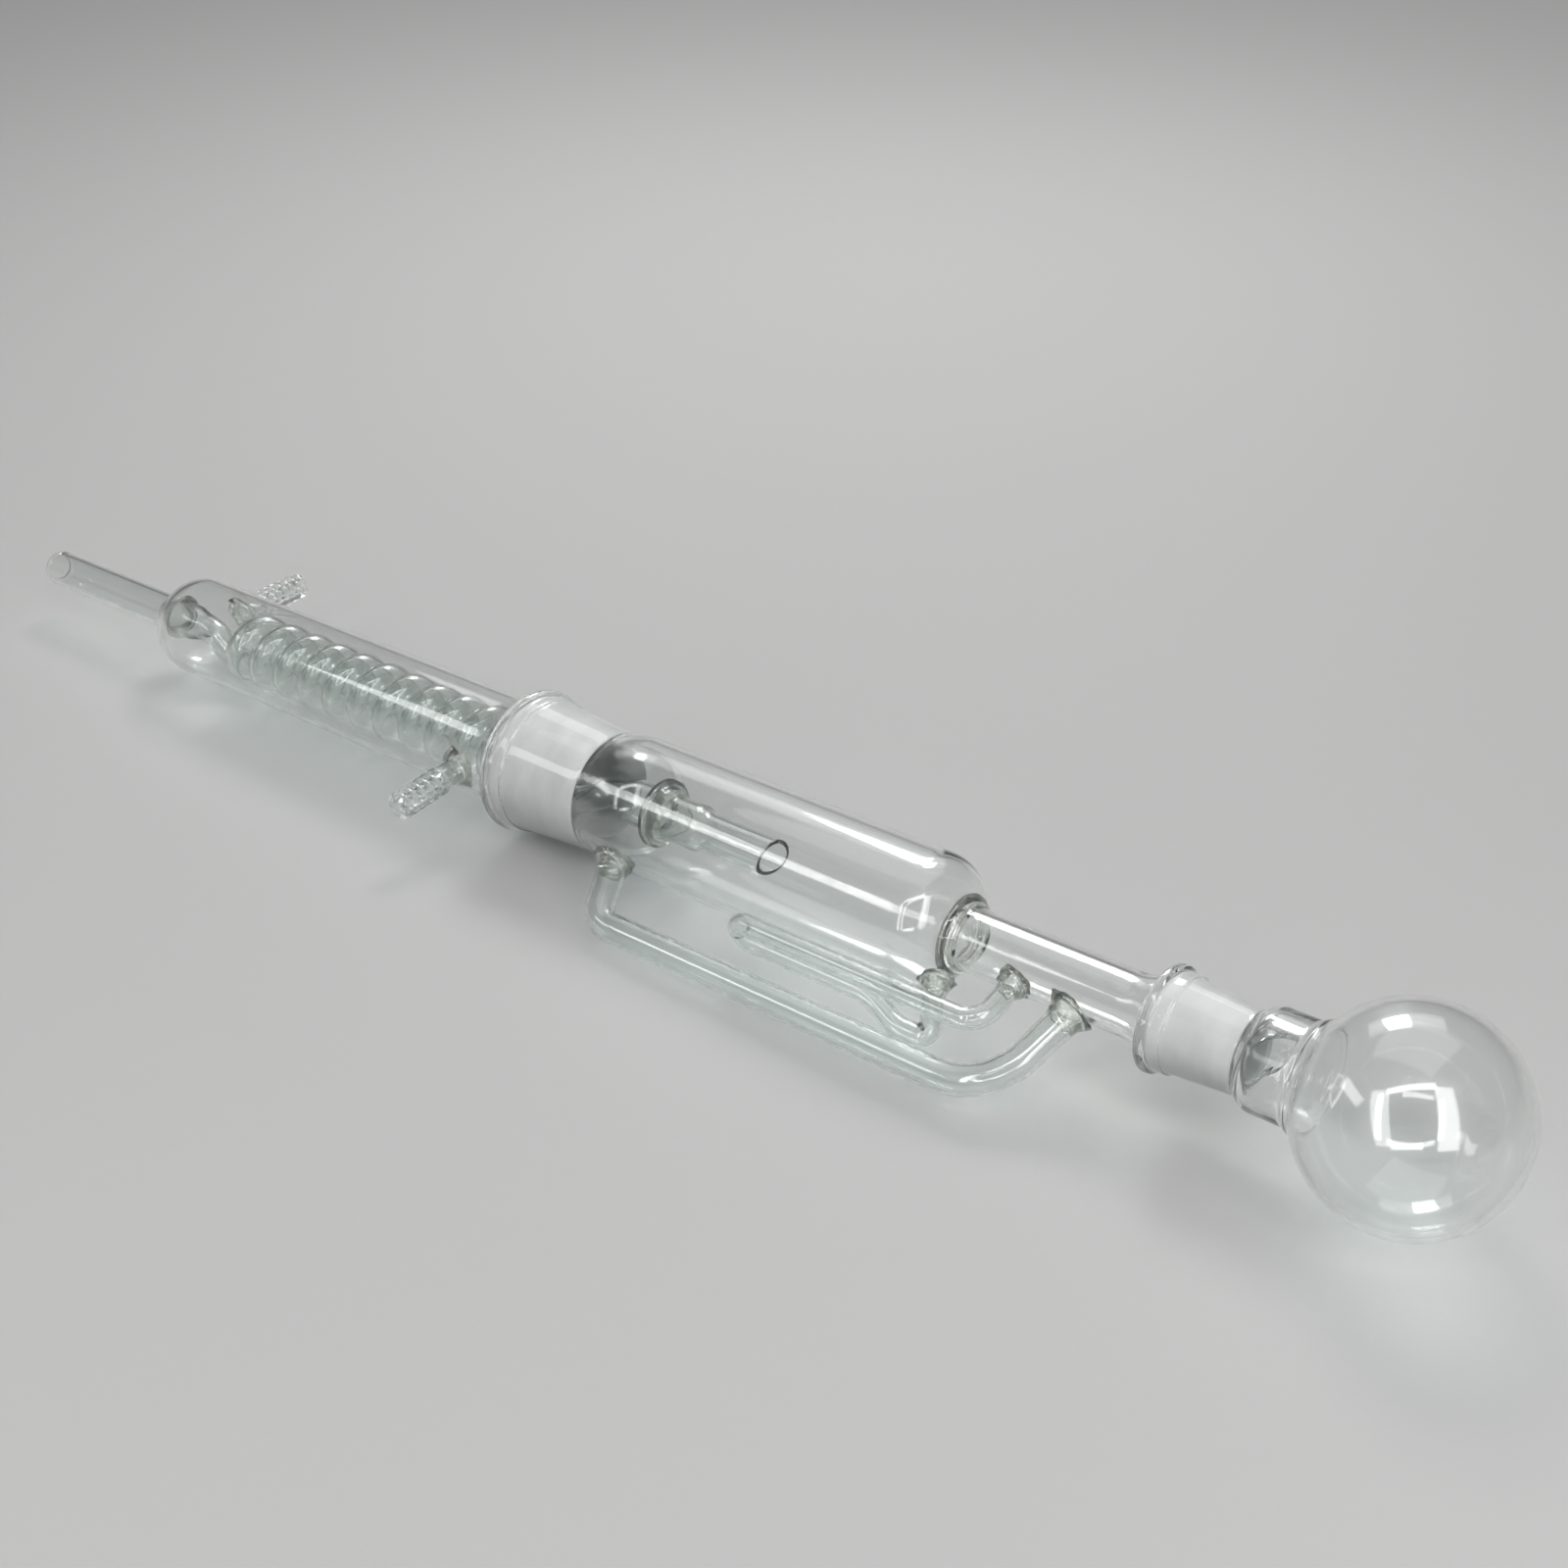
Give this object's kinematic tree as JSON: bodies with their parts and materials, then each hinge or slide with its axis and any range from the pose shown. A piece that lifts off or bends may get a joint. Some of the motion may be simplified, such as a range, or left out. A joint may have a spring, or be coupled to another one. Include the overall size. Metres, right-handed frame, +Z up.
{
  "type": "soxhlet extractor",
  "caption": "Glass extraction set on its side: round boiling flask, thimble chamber with vapour and siphon side tubes, and coil condenser with hose barbs.",
  "frame": {"origin": "middle of the base of the set's box, on the surface that it lies on, below the glass axis", "axes": "+Z up from the surface, +X along the set from the vent towards the boiling flask, -Y the side on which the vapour tube and siphon stand"},
  "size_m": [0.6124, 0.0904, 0.064],
  "materials": {
    "clear_glass": "clear borosilicate glass, fire-polished",
    "ground_glass": "evenly ground, frosted pale grey",
    "weld_glass": "thick melted glass, faintly green"
  },
  "bodies": {
    "flask": {"flask_bulb": "clear_glass", "flask_neck": "clear_glass", "flask_socket": "ground_glass"},
    "extractor": {"extractor_socket": "ground_glass", "extraction_chamber": "clear_glass", "stem_seal": "weld_glass", "stem_tube": "clear_glass", "stem_cone": "ground_glass", "stem_drip_end": "clear_glass", "vapour_tube": "clear_glass", "siphon_tube": "clear_glass", "vapour_top_weld": "weld_glass", "vapour_low_weld": "weld_glass", "siphon_inlet_weld": "weld_glass", "siphon_outlet_weld": "weld_glass"},
    "condenser": {"condenser_jacket": "clear_glass", "condenser_cone": "ground_glass", "condenser_dome": "clear_glass", "vent_tube": "clear_glass", "vent_seal": "weld_glass", "coil": "clear_glass", "coil_top_bend": "clear_glass", "coil_bottom_bend": "clear_glass", "drip_tube": "clear_glass", "drip_seal": "weld_glass", "inlet_barb": "clear_glass", "inlet_weld": "weld_glass", "outlet_barb": "clear_glass", "outlet_weld": "weld_glass"}
  },
  "joints": [
    {"name": "condenser_slide", "type": "slide", "parent": "extractor", "child": "condenser", "axis": [-0.9997, 0, -0.0238], "range_m": [0, 0.1]},
    {"name": "flask_slide", "type": "slide", "parent": "extractor", "child": "flask", "axis": [0.9997, 0, 0.0238], "range_m": [0, 0.045]}
  ]
}
